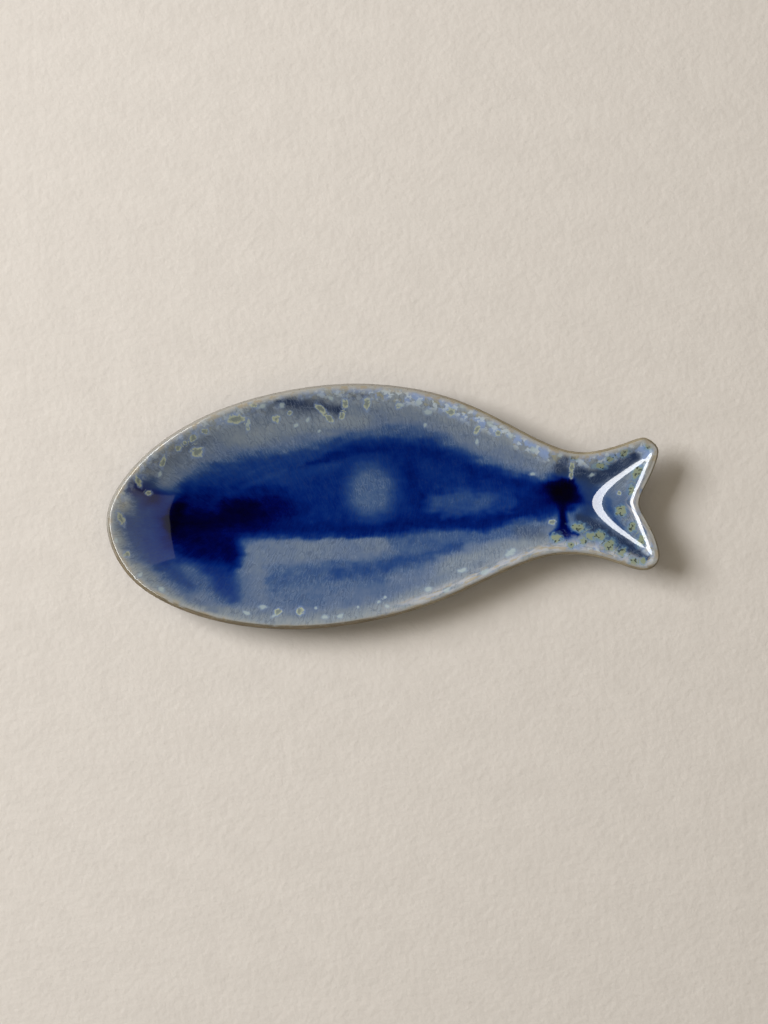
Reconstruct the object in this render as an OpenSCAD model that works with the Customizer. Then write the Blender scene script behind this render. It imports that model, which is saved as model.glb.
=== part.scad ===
// Fish shaped serving platter in glazed stoneware.
// A fired clay shell with a low oval foot carries three coats of glaze: a deep pool over the
// whole inside, a thin coat on the outer wall and a thin coat inside the foot.
// The lip's outer edge and the foot stay bare, as on a real piece.
// Nose at -X, tail at +X, back at +Y, belly at -Y, table at Z = 0.

/* [Outline] */
// Length of the body, from the nose to the narrow waist
body_l = 254; // [210:1:300]
// Length of the tail, from the waist to its tips
tail_l = 46; // [38:1:56]
// Reach of the back edge from the nose to tail line
back_w = 71.7; // [58:0.1:84]
// Reach of the belly edge from the nose to tail line
belly_w = 60.1; // [50:0.1:72]
// Width across the waist
waist_w = 55.5; // [46:0.5:64]
// Width of the tail, from tip to tip
tail_w = 71.6; // [64:0.1:84]
// Depth of the notch between the tail's tips
notch_d = 11.3; // [7:0.1:15]

/* [Section] */
// Height of the clay lip above the table
rim_h = 27; // [23:0.5:33]
// Height of the clay floor above the table
floor_h = 7.5; // [6.5:0.1:9]
// Thickness of the clay floor
floor_t = 4.8; // [4:0.1:5.8]
// Thickness of the rounded lip
lip_t = 5.4; // [4.4:0.1:6.4]
// Length of the rounding between the lip and the inner wall
lip_blend_l = 1.6; // [1:0.1:2.4]
// Height of the tail's web above the hollow round it
web_h = 2.1; // [1.4:0.1:2.6]
// Width of the slope that climbs onto the web
web_slope_w = 3.05; // [2.4:0.05:4.2]
// Height of the step from the web up to the ridge along the notch
ridge_h = 0.82; // [0.5:0.02:1]
// Width of the slope that climbs onto the ridge
ridge_slope_w = 2.2; // [1.6:0.1:2.8]
// Drop from the lip to the ridge beside the notch
notch_lip_h = 1.1; // [0.7:0.1:1.4]
// Width of that drop
notch_lip_w = 2.8; // [2:0.1:3.6]

/* [Foot] */
// Distance from the nose to the foot
foot_inset = 43; // [36:1:52]
// Width of the foot's oval
foot_w = 64; // [52:1:72]
// Width of the band that touches the table
foot_band = 4.5; // [3:0.1:6]
// Slope of the foot's sides, measured along the table
foot_draft = 1.3; // [0.6:0.1:2]

/* [Glaze] */
// Thickness of the inside glaze on the walls
glaze_t = 0.6; // [0.4:0.05:0.9]
// Extra thickness of the inside glaze where it pools on the floor
pool_t = 0.9; // [0.4:0.05:1.4]
// Thickness of the glaze on the outer wall
outer_glaze_t = 0.5; // [0.3:0.05:0.8]
// Thickness of the glaze inside the foot
base_glaze_t = 0.4; // [0.3:0.05:0.6]

/* [Hidden] */

// Points drawn between two stations of the outline, rings down the inner wall and under the shell
steps = 3;
wall_rings = 14;
under_rings = 7;
// Rings lie closer together near the lip
wall_spread_power = 1.35;
under_spread_power = 1.7;
// Passes that pull the smooth curve onto its own points
passes = 8;
// Angles of the rings on the lip's outer rounding, above its widest line; the inside glaze ends on the first
lip_angles = [62, 32, 0];
// Thickness left at the glaze's edge
glaze_edge_share = 0.4;

overall_l = body_l + tail_l;
tail_half = tail_w / 2;
dish_d = rim_h - floor_h;

// Outline of the body, nose to waist: along the body, then out to the edge
back_shares = [[0.028, 0.297], [0.109, 0.587], [0.24, 0.833], [0.394, 0.967], [0.545, 0.998],
    [0.689, 0.922], [0.807, 0.76], [0.913, 0.545]];
belly_shares = [[0.038, 0.425], [0.128, 0.727], [0.254, 0.922], [0.402, 1], [0.543, 0.962],
    [0.677, 0.837], [0.799, 0.642], [0.906, 0.474]];
// The waist: along the body, then out to the edge from the nose to tail line
waist_back_shares = [1, 0.534];
waist_belly_shares = [0.984, 0.47];
// Outline of the tail's two lobes, waist to tip: along the tail, then out to the edge
tail_back_shares = [[0.39, 0.842], [0.695, 0.946], [0.863, 0.982], [0.982, 0.866], [1, 0.71]];
tail_belly_shares = [[0.304, 0.82], [0.63, 0.976], [0.826, 1.014], [0.946, 0.906], [0.961, 0.724]];
// The notch, tip to apex: in from the tips, then out from the nose to tail line
notch_back_shares = [[0.355, 0.432], [0.8, 0.176]];
notch_belly_shares = [[0.398, 0.46], [0.8, 0.196]];
notch_apex_shares = [1, -0.014];

function mirrored(p) = [p[0], -p[1]];
function body_point(p, reach) = [p[0] * body_l, p[1] * reach];
function tail_point(p) = [body_l + p[0] * tail_l, p[1] * tail_half];
function notch_point(p) = [overall_l - p[0] * notch_d, p[1] * tail_half];
back_points = concat(
    [for (p = back_shares) body_point(p, back_w)],
    [body_point(waist_back_shares, waist_w)],
    [for (p = tail_back_shares) tail_point(p)],
    [for (p = notch_back_shares) notch_point(p)]);
belly_points = concat(
    [for (p = belly_shares) body_point(mirrored(p), belly_w)],
    [body_point(mirrored(waist_belly_shares), waist_w)],
    [for (p = tail_belly_shares) tail_point(mirrored(p))],
    [for (p = notch_belly_shares) notch_point(mirrored(p))]);
belly_count = len(belly_points);
outline_points = concat(
    [[0, 0]],
    back_points,
    [notch_point(notch_apex_shares)],
    [for (i = [1 : belly_count]) belly_points[belly_count - i]]);

// Stations from nose to notch: place along the dish's backbone
backbone_shares = [0, 0.022, 0.08, 0.18, 0.308, 0.438, 0.563, 0.68, 0.786, 0.87, 0.9, 0.918,
    0.934, 0.952, 0.969, 0.985, 0.995, 1];
// Place of the backbone out to the back, over the back's reach
lift_shares = [-0.02, -0.02, -0.012, 0.03, 0.064, 0.094, 0.11, 0.107, 0.075, 0.042, 0.029, 0.0275,
    0.0265, 0.0255, 0.025, 0.025, 0.02, 0.02];
// Height of the backbone, from the floor to the lip, without the tail's web
rise_shares = [0, 0, 0, 0, 0, 0, 0.02, 0.16, 0.41, 0.615, 0.696, 0.713,
    0.733, 0.748, 0.767, 0.79, 0.808, 0.815];
// Steepness of the wall at the lip, as a power: the higher, the flatter the floor
wall_powers = [2.2, 2.2, 2.2, 2.2, 2.2, 2.2, 2.2, 2.2, 2.3, 2.3, 2.3, 1.8, 1.6, 1.8, 1.95, 2.1, 2.4, 2.7];
// How late the tail's web gives way to the lip, as a power
fade_powers = [5, 5, 5, 5, 5, 5, 5, 5, 5, 5, 5, 5, 4.4, 5.6, 5.6, 3.4, 2.6, 3];
// Share of the lip's drop beside the notch, share of the ridge, and thickness of the lip
notch_lip_shares = [0, 0, 0, 0, 0, 0, 0, 0, 0, 0, 0, 0, 0.1, 0.2, 0.25, 0.3, 0.25, 0.7];
ridge_shares = [0, 0, 0, 0, 0, 0, 0, 0, 0, 0, 0, 0, 0, 0.3, 1, 1, 0.9, 0.9];
lip_shares = [1, 1, 1, 1, 1, 1, 1, 1, 1, 1, 1, 1, 0.88, 0.65, 0.52, 0.46, 0.44, 0.44];
// Points of the web and of the ridge: along the tail, then out to the back
web_point_shares = [0.206, 0.036];
ridge_point_shares = [0.6565, 0.0196];
// How blunt each point is, and the rounding of both slopes
web_blunt_share = 0.285;
ridge_blunt_share = 0.098;
web_round_share = 0.148;
// Angle of each arm of the web and of the ridge from their middle line, and turn of that line
web_arm_angle = 32.7;
ridge_arm_angle = 67.5;
web_turn_angle = -3.2;
// The outer wall bends a little sooner than the inner one
outer_bend_share = 1.2;
// Free lengths before and after the backbone, over the body and over the tail
nose_share = 0.2165;
notch_gap_share = 0.2174;
foot_station_count = 7;
foot_taper_share = 0.12;
// Step along a line of the outer wall over which its slope is taken
slope_share = 0.03;

// A smooth closed curve through a list of points or numbers
function around(list, i) = list[(i + len(list)) % len(list)];
function knot(c, i) = (around(c, i - 1) + 4 * c[i] + around(c, i + 1)) / 6;
function settled(c, p, n) = n == 0 ? c
    : settled([for (i = [0 : len(p) - 1]) c[i] + p[i] - knot(c, i)], p, n - 1);
function blend_at(c, i, t) = (
    pow(1 - t, 3) * around(c, i - 1)
    + (3 * pow(t, 3) - 6 * pow(t, 2) + 4) * c[i]
    + (1 + 3 * t + 3 * pow(t, 2) - 3 * pow(t, 3)) * around(c, i + 1)
    + pow(t, 3) * around(c, i + 2)) / 6;
function smooth_loop(p) = let (c = settled(p, p, passes))
    [for (i = [0 : len(p) - 1]) for (k = [0 : steps - 1]) blend_at(c, i, k / steps)];
function there_and_back(list) = concat(list, [for (i = [len(list) - 2 : -1 : 1]) list[i]]);
function along_stations(list) = smooth_loop(there_and_back(list));

// The edge of the platter, centred over the origin
raw_edge = smooth_loop(outline_points);
count = len(raw_edge);
half = count / 2;
function span_mid(axis) = (min([for (p = raw_edge) p[axis]]) + max([for (p = raw_edge) p[axis]])) / 2;
middle = [span_mid(0), span_mid(1)];
edge = [for (p = raw_edge) p - middle];
function pair(i) = min(i, count - i);
function unit(v) = v / norm(v);
function inward(i) = let (d = unit(around(edge, i + 1) - around(edge, i - 1))) [d[1], -d[0]];

// The backbone, the dish's lowest line
backbone_share = along_stations(backbone_shares);
rise_share = along_stations(rise_shares);
lift_share = along_stations(lift_shares);
wall_power = along_stations(wall_powers);
fade_power = along_stations(fade_powers);
notch_lip_share = along_stations(notch_lip_shares);
ridge_share = along_stations(ridge_shares);
lip_share = along_stations(lip_shares);
backbone_start = nose_share * body_l;
backbone_l = overall_l - notch_d - backbone_start - notch_gap_share * tail_l;
backbone = [for (i = [0 : half])
    [backbone_start + backbone_l * backbone_share[i], back_w * lift_share[i]] - middle];
function spine(i) = backbone[pair(i)];
function spine_h(i) = floor_h + dish_d * rise_share[pair(i)];
function lip_r(i) = lip_t / 2 * lip_share[pair(i)];

// The tail's web and the ridge on it: blunt arrow heads with an even slope along their two arms
function head_reach(p, point_shares, blunt, arm_angle) = let (
        q = p + middle - tail_point(point_shares),
        along = q[0] * cos(web_turn_angle) + q[1] * sin(web_turn_angle),
        across = q[1] * cos(web_turn_angle) - q[0] * sin(web_turn_angle))
    along * sin(arm_angle) - (norm([across, blunt]) - blunt) * cos(arm_angle);
function past(d, slope_w) = (d + norm([d, web_round_share * slope_w])) / 2;
function climbed(d, slope_w) = (past(d, slope_w) - past(d - slope_w, slope_w)) / slope_w;
web_blunt = web_blunt_share * tail_half;
ridge_blunt = ridge_blunt_share * tail_half;
function web_rise(p) = web_h
    * climbed(head_reach(p, web_point_shares, web_blunt, web_arm_angle), web_slope_w);
function ridge_rise(p) = ridge_h
    * climbed(head_reach(p, ridge_point_shares, ridge_blunt, ridge_arm_angle), ridge_slope_w);

// Inner face of the clay, from the lip's crest at 0 to the backbone at 1
function crest(i) = edge[i] + lip_r(i) * inward(i);
function eased(d) = norm([d, lip_blend_l]) - lip_blend_l;
function wall_run(i) = norm(spine(i) - crest(i));
function wall_left(i, g) = 1 - eased(g * wall_run(i)) / eased(wall_run(i));
function notch_left(i, g) = exp(-pow(g * wall_run(i) / notch_lip_w, 2));
function wall_h(i, g) = let (left = pow(wall_left(i, g), wall_power[pair(i)]))
    spine_h(i) + (rim_h - spine_h(i)) * left
    + notch_lip_h * notch_lip_share[pair(i)] * (notch_left(i, g) - left);
function inner_point(i, g) = let (
        p = (1 - g) * crest(i) + g * spine(i),
        web_left = 1 - pow(wall_left(i, g), fade_power[pair(i)]),
        ridge_left = ridge_share[pair(i)] * (1 - notch_left(i, g)))
    [p[0], p[1], wall_h(i, g) + web_rise(p) * web_left + ridge_rise(p) * ridge_left];
function wall_slope(i, g) = let (d = g * wall_run(i), w = wall_power[pair(i)])
    (rim_h - spine_h(i)) * w * pow(wall_left(i, g), w - 1)
    * d / norm([d, lip_blend_l]) / eased(wall_run(i));
function lip_point(i, a) = let (p = edge[i] + lip_r(i) * (1 - cos(a)) * inward(i))
    [p[0], p[1], rim_h - lip_r(i) + lip_r(i) * sin(a)];

// The foot: an oval under the body, from near the nose to a place on the backbone
foot_last = foot_station_count * steps;
foot_count = 2 * foot_last;
foot_nose = [foot_inset - middle[0], backbone[0][1]];
foot_axis = backbone[foot_last] - foot_nose;
foot_along = unit(foot_axis);
foot_across = [-foot_along[1], foot_along[0]];
foot_inner = 2 * foot_draft + foot_band;
function loop_station(j) = j <= foot_last ? j : count - foot_count + j;
// Its points turn half in even steps and half with the stations above them
function station_turn(s) = acos(1 - 2 * backbone_share[s] / backbone_share[foot_last]);
function foot_turn(j) = let (s = min(j, foot_count - j))
    (j <= foot_last ? 1 : -1) * (station_turn(s) + 180 * s / foot_last) / 2;
function foot_reach(j, inset) = (foot_w / 2 - inset) * (1 + foot_taper_share * cos(foot_turn(j)));
function foot_oval(j, inset) = foot_nose + foot_axis / 2
    - foot_along * (norm(foot_axis) / 2 - inset) * cos(foot_turn(j))
    + foot_across * foot_reach(j, inset) * sin(foot_turn(j));

// Under face of the clay, from the edge at 0 to the foot's oval or the tail's backbone at 1
function under_h(i, p) = let (
        left = min(1, norm(p - spine(i)) / norm(edge[i] - spine(i))),
        low = spine_h(i) - floor_t)
    low + (rim_h - lip_r(i) - low) * pow(left, wall_power[pair(i)] * outer_bend_share);
function loop_index(i) = i <= half ? i : foot_count - pair(i);
function under_end(i) = pair(i) < foot_last ? foot_oval(loop_index(i), 0) : spine(i);
function under_place(i, f) = (1 - f) * edge[i] + f * under_end(i);
function under_point(i, f) = let (p = under_place(i, f)) [p[0], p[1], under_h(i, p)];
function foot_top(j, inset) = let (p = foot_oval(j, inset)) [p[0], p[1], under_h(loop_station(j), p)];
function foot_base(j, inset) = let (p = foot_oval(j, inset)) [p[0], p[1], 0];
function recess_point(j) = let (p = (foot_oval(j, foot_inner) + foot_oval(foot_count - j, foot_inner)) / 2)
    [p[0], p[1], under_h(j, p)];

// Outer faces of the glazes
function leaning(dir, slope) = [dir[0] * slope, dir[1] * slope, 1] / sqrt(1 + slope * slope);
function pool(i, g) = glaze_t + pool_t * (1 - rise_share[pair(i)]) * (1 - wall_left(i, g));
function glazed_point(i, g) = inner_point(i, g)
    + pool(i, g) * leaning(unit(spine(i) - crest(i)), wall_slope(i, g));
function glazed_edge(i) = let (a = lip_angles[0], out = -cos(a) * inward(i))
    lip_point(i, a) + glaze_edge_share * glaze_t * [out[0], out[1], sin(a)];
function under_slope(i, f) = (under_h(i, under_place(i, f - slope_share)) - under_h(i, under_place(i, f)))
    / (slope_share * norm(under_end(i) - edge[i]));
function coated_point(i, f) = under_point(i, f)
    - outer_glaze_t * leaning(unit(under_end(i) - edge[i]), f < 1 ? under_slope(i, f) : 0);

// Rings of points from a function of place: round the whole edge, and round the foot
ring_range = [0 : count - 1];
loop_range = [0 : foot_count - 1];
wall_gaps = [for (k = [wall_rings - 1 : -1 : 0]) pow(k / wall_rings, wall_spread_power)];
under_gaps = [for (k = [1 : under_rings - 1]) pow(k / under_rings, under_spread_power)];

// Numbers by which faces find those points; lines along the backbone are shared by both sides
function ring_ids(start, n) = [for (i = [0 : n - 1]) start + i];
function rings_ids(start, n, rows) = [for (k = [0 : rows - 1]) ring_ids(start + k * n, n)];
function spine_ids(start) = [for (i = ring_range) start + pair(i)];
function under_end_ids(loop, tail) = [for (i = ring_range)
    pair(i) <= foot_last ? loop + loop_index(i) % foot_count : tail + pair(i) - foot_last - 1];
function recess_ids(loop, axis) = [for (j = loop_range) let (s = min(j, foot_count - j))
    s == 0 || s == foot_last ? loop + s : axis + s - 1];

// Triangles between rings, without those that have closed up
function whole(t) = t[0] != t[1] && t[1] != t[2] && t[2] != t[0];
function band(a, b) = [for (i = [0 : len(a) - 1]) let (n = (i + 1) % len(a))
    for (t = [[a[i], b[n], a[n]], [a[i], b[i], b[n]]]) if (whole(t)) t];
function bands(rings) = [for (k = [0 : len(rings) - 2]) each band(rings[k], rings[k + 1])];
// A coat over a run of rings: its outer face, its edge at the ring given, and its face on the clay,
// which has the clay's own triangles turned over
function turned(faces) = [for (f = faces) [f[2], f[1], f[0]]];
function coat_faces(outer, clay, start_edge) = concat(bands(outer), turned(bands(clay)),
    start_edge ? band(clay[0], outer[0]) : band(outer[len(outer) - 1], clay[len(clay) - 1]));

// Inside of the dish: backbone, wall rings and the ring where the glaze ends
inside_points = concat(
    [for (i = [0 : half]) inner_point(i, 1)],
    [for (g = wall_gaps) for (i = ring_range) inner_point(i, g)],
    [for (i = ring_range) lip_point(i, lip_angles[0])]);
glazed_points = concat(
    [for (i = [0 : half]) glazed_point(i, 1)],
    [for (g = wall_gaps) for (i = ring_range) glazed_point(i, g)],
    [for (i = ring_range) glazed_edge(i)]);
function inside_ids(start) = concat([spine_ids(start)], rings_ids(start + half + 1, count, wall_rings + 1));

// Outer wall: rings below the lip, the foot's oval and the tail's backbone
function foot_oval_points(inset) = [for (j = loop_range) foot_top(j, inset)];
under_points = concat(
    [for (f = under_gaps) for (i = ring_range) under_point(i, f)],
    foot_oval_points(0),
    [for (i = [foot_last + 1 : half]) under_point(i, 1)]);
function coated_loop(j) = coated_point(loop_station(j), 1);
coated_points = concat(
    [for (f = under_gaps) for (i = ring_range) coated_point(i, f)],
    [for (j = loop_range) coated_loop(j)],
    [for (i = [foot_last + 1 : half]) coated_point(i, 1)]);
function loop_start(start) = start + len(under_gaps) * count;
function under_ids(start) = concat(rings_ids(start, count, len(under_gaps)),
    [under_end_ids(loop_start(start), loop_start(start) + foot_count)]);

// Recess inside the foot: its own oval, then the foot's long axis
recess_points = concat(foot_oval_points(foot_inner), [for (j = [1 : foot_last - 1]) recess_point(j)]);
function recess_rings(start) = [ring_ids(start, foot_count), recess_ids(start, start + foot_count)];

module stoneware_body() {
    bare_lip = [for (k = [1 : len(lip_angles) - 1]) for (i = ring_range) lip_point(i, lip_angles[k])];
    foot_sides = concat(
        [for (j = loop_range) foot_base(j, foot_draft)],
        [for (j = loop_range) foot_base(j, foot_draft + foot_band)]);
    lip_start = len(inside_points);
    under_start = lip_start + len(bare_lip);
    foot_start = under_start + len(under_points);
    recess_start = foot_start + len(foot_sides);
    shell = concat(inside_ids(0), rings_ids(lip_start, count, len(lip_angles) - 1), under_ids(under_start));
    foot = concat([ring_ids(loop_start(under_start), foot_count)],
        rings_ids(foot_start, foot_count, 2), recess_rings(recess_start));
    color("tan") polyhedron(
        concat(inside_points, bare_lip, under_points, foot_sides, recess_points),
        concat(bands(shell), bands(foot)));
}

module inside_glaze() {
    color("royalblue") polyhedron(
        concat(glazed_points, inside_points),
        coat_faces(inside_ids(0), inside_ids(len(glazed_points)), false));
}

module outside_glaze() {
    clay_start = len(coated_points);
    foot_edge = band(ring_ids(loop_start(0), foot_count), ring_ids(loop_start(clay_start), foot_count));
    color("lightslategray") polyhedron(
        concat(coated_points, under_points),
        concat(coat_faces(under_ids(0), under_ids(clay_start), true), foot_edge));
}

module base_glaze() {
    coat = [for (p = recess_points) p - [0, 0, base_glaze_t]];
    color("lightsteelblue") polyhedron(
        concat(coat, recess_points),
        coat_faces(recess_rings(0), recess_rings(len(coat)), true));
}

stoneware_body();
inside_glaze();
outside_glaze();
base_glaze();
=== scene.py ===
"""Looks of the fish shaped platter: meshes by the CAD part's formulas, glazes, floor, light and camera."""

import math

import bmesh
import bpy
import numpy as np
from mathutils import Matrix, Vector, kdtree, noise


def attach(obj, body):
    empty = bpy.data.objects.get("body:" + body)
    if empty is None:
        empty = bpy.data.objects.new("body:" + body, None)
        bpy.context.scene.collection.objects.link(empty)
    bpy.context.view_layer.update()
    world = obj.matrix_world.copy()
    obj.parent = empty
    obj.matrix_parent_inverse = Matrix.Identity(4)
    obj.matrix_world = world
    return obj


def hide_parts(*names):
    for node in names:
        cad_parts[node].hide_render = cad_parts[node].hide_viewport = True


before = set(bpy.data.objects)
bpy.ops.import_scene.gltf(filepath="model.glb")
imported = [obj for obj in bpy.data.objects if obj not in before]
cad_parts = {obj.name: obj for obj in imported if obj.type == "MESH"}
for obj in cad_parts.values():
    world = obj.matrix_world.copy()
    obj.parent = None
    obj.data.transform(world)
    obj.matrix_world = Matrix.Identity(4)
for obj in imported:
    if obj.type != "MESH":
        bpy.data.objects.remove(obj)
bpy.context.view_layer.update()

MM = 0.001

# Driving sizes in millimetres, the same as the CAD part's
BODY_L, TAIL_L = 254.0, 46.0
BACK_W, BELLY_W, WAIST_W, TAIL_W = 71.7, 60.1, 55.5, 71.6
NOTCH_D = 11.3
RIM_H, FLOOR_H, FLOOR_T = 27.0, 7.5, 4.8
LIP_R, LIP_BLEND = 2.7, 1.6
WEB_RISE, WEB_STEP = 2.1, 3.05
RIDGE_RISE, RIDGE_STEP = 0.82, 2.2
NOTCH_STEP, NOTCH_STEP_W = 1.1, 2.8
FOOT_INSET, FOOT_W, FOOT_BAND, FOOT_DRAFT = 43.0, 64.0, 4.5, 1.3
GLAZE_T, POOL_T, OUTER_GLAZE_T, BASE_GLAZE_T = 0.6, 0.9, 0.5, 0.4
OVERALL_L = BODY_L + TAIL_L
DISH_D = RIM_H - FLOOR_H
WEB_APEX = (BODY_L + 0.206 * TAIL_L, 0.036 * TAIL_W / 2)
RIDGE_APEX = (BODY_L + 0.6565 * TAIL_L, 0.0196 * TAIL_W / 2)
WEB_BLUNT, RIDGE_BLUNT = 0.285 * TAIL_W / 2, 0.098 * TAIL_W / 2
WEB_ANGLE, RIDGE_ANGLE, WEB_TURN = math.radians(32.7), math.radians(67.5), math.radians(-3.2)
SLOPE_ROUNDING = 0.148
BACKBONE_START, BACKBONE_END_GAP = 0.2165 * BODY_L, 0.2174 * TAIL_L
BACKBONE_L = OVERALL_L - NOTCH_D - BACKBONE_START - BACKBONE_END_GAP
GLAZE_EDGE_ANGLE = 62.0
GLAZE_EDGE_SHARE = 0.4
OUTER_BEND = 1.2
FOOT_STATION = 7
FOOT_TAPER = 0.12
SLOPE_STEP = 0.03
CURVE_PASSES = 8

# Outline shares, the same as the CAD part's
BACK = [(0.028, 0.297), (0.109, 0.587), (0.24, 0.833), (0.394, 0.967), (0.545, 0.998),
        (0.689, 0.922), (0.807, 0.76), (0.913, 0.545)]
BELLY = [(0.038, 0.425), (0.128, 0.727), (0.254, 0.922), (0.402, 1), (0.543, 0.962),
         (0.677, 0.837), (0.799, 0.642), (0.906, 0.474)]
WAIST_BACK, WAIST_BELLY = (1, 0.534), (0.984, 0.47)
TAIL_BACK = [(0.39, 0.842), (0.695, 0.946), (0.863, 0.982), (0.982, 0.866), (1, 0.71)]
TAIL_BELLY = [(0.304, 0.82), (0.63, 0.976), (0.826, 1.014), (0.946, 0.906), (0.961, 0.724)]
NOTCH_BACK = [(0.355, 0.432), (0.8, 0.176)]
NOTCH_BELLY = [(0.398, 0.46), (0.8, 0.196)]
NOTCH_APEX = (1, -0.014)
# Station shares from nose to notch, the same as the CAD part's
BACKBONE = [0, 0.022, 0.08, 0.18, 0.308, 0.438, 0.563, 0.68, 0.786, 0.87, 0.9, 0.918,
            0.934, 0.952, 0.969, 0.985, 0.995, 1]
LIFT = [-0.02, -0.02, -0.012, 0.03, 0.064, 0.094, 0.11, 0.107, 0.075, 0.042, 0.029, 0.0275,
        0.0265, 0.0255, 0.025, 0.025, 0.02, 0.02]
RISE = [0, 0, 0, 0, 0, 0, 0.02, 0.16, 0.41, 0.615, 0.696, 0.713, 0.733, 0.748, 0.767, 0.79, 0.808, 0.815]
WALL_POWER = [2.2, 2.2, 2.2, 2.2, 2.2, 2.2, 2.2, 2.2, 2.3, 2.3, 2.3, 1.8, 1.6, 1.8, 1.95, 2.1, 2.4, 2.7]
WEB_FADE = [5, 5, 5, 5, 5, 5, 5, 5, 5, 5, 5, 5, 4.4, 5.6, 5.6, 3.4, 2.6, 3]
NOTCH_SHARE = [0, 0, 0, 0, 0, 0, 0, 0, 0, 0, 0, 0, 0.1, 0.2, 0.25, 0.3, 0.25, 0.7]
RIDGE_SHARE = [0, 0, 0, 0, 0, 0, 0, 0, 0, 0, 0, 0, 0, 0.3, 1, 1, 0.9, 0.9]
LIP_SHARE = [1, 1, 1, 1, 1, 1, 1, 1, 1, 1, 1, 1, 0.88, 0.65, 0.52, 0.46, 0.44, 0.44]

# Fineness of the meshes
COLUMN_GAP = 0.85
WALL_RINGS, CLAY_RINGS, LIP_RINGS, UNDER_RINGS, RECESS_RINGS = 78, 14, 8, 26, 6
BARE_RINGS = 3
RING_CROWDING, UNDER_CROWDING = 1.25, 1.3
MERGE_GAP = 1e-7

# The photograph: size of a pixel at the lip, where the platter's middle shows, and the roll of its long axis
PHOTO_SIZE = np.array([768.0, 1024.0])
PIXEL = 0.54081
PLATTER_AT = np.array([0.3, -4.4])
PHOTO_ROLL = math.radians(2.576)
CAMERA_ABOVE_LIP = 1400.0
SENSOR = 36.0


# Shape

def outline_points():
    def body(p, reach, side):
        return (p[0] * BODY_L, side * p[1] * reach)

    def tail(p, side):
        return (BODY_L + p[0] * TAIL_L, side * p[1] * TAIL_W / 2)

    def notch(p, side):
        return (OVERALL_L - p[0] * NOTCH_D, side * p[1] * TAIL_W / 2)

    back = [body(p, BACK_W, 1) for p in BACK] + [body(WAIST_BACK, WAIST_W, 1)]
    back += [tail(p, 1) for p in TAIL_BACK] + [notch(p, 1) for p in NOTCH_BACK]
    belly = [body(p, BELLY_W, -1) for p in BELLY] + [body(WAIST_BELLY, WAIST_W, -1)]
    belly += [tail(p, -1) for p in TAIL_BELLY] + [notch(p, -1) for p in NOTCH_BELLY]
    return np.array([(0, 0), *back, notch(NOTCH_APEX, 1), *belly[::-1]], float)


def columns_per_stretch(points):
    length = np.linalg.norm(np.roll(points, -1, 0) - points, axis=1)
    return np.ceil(np.maximum(length, length[::-1]) / COLUMN_GAP).astype(int)


def settled(points):
    control = points.copy()
    for _ in range(CURVE_PASSES):
        control += points - (np.roll(control, 1, 0) + 4 * control + np.roll(control, -1, 0)) / 6
    return control


def smooth_loop(points, columns):
    """Places and directions along the smooth closed curve through the points."""
    c, m = settled(points), len(points)
    places, directions = [], []
    for i, n in enumerate(columns):
        t = (np.arange(n) / n)[:, None]
        a, b, d, e = c[i - 1], c[i], c[(i + 1) % m], c[(i + 2) % m]
        places.append(((1 - t) ** 3 * a + (3 * t ** 3 - 6 * t ** 2 + 4) * b
                       + (1 + 3 * t + 3 * t ** 2 - 3 * t ** 3) * d + t ** 3 * e) / 6)
        directions.append((-(1 - t) ** 2 * a + (3 * t ** 2 - 4 * t) * b
                           + (1 + 2 * t - 3 * t ** 2) * d + t ** 2 * e) / 2)
    return np.concatenate(places), np.concatenate(directions)


def unit(v):
    return v / np.linalg.norm(v, axis=-1, keepdims=True)


def lerp(a, b, t):
    return (1 - t) * a + t * b


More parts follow.
